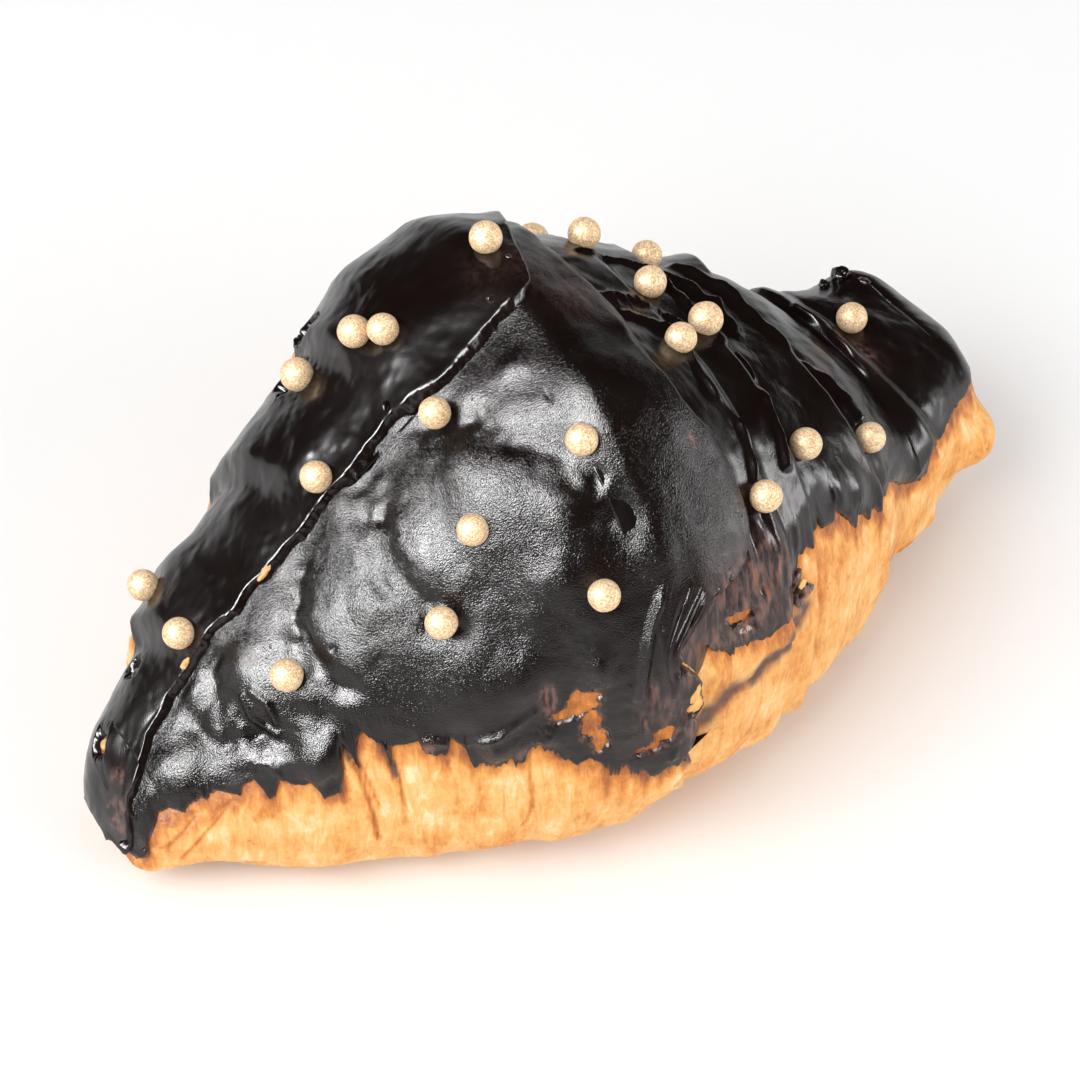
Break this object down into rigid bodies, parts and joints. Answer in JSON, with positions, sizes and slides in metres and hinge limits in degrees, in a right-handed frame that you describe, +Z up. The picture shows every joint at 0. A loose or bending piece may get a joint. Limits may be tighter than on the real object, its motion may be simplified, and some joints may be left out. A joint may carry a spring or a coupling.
{
  "type": "chocolate croissant",
  "caption": "Baked croissant with rolled layers, dipped in glossy dark chocolate over a bare golden underside and dotted with small gold sugar pearls.",
  "frame": {"origin": "centre of the whole part's box in plan, on the table plane that the flat of the base rests on", "axes": "+X from the left tip to the right tip as seen from the front, -Y the front that carries the broad middle panel, +Z up"},
  "size_m": [0.1632, 0.0918, 0.0864],
  "materials": {
    "golden_crust": "baked golden crust, flaky and slightly fibrous",
    "dark_chocolate": "glossy dark chocolate glaze with a fine pebbled surface",
    "sugar_pearl": "satin champagne gold sugar shell with fine glitter"
  },
  "bodies": {
    "root": {"croissant": "golden_crust", "chocolate_coat": "dark_chocolate"}
  },
  "joints": []
}
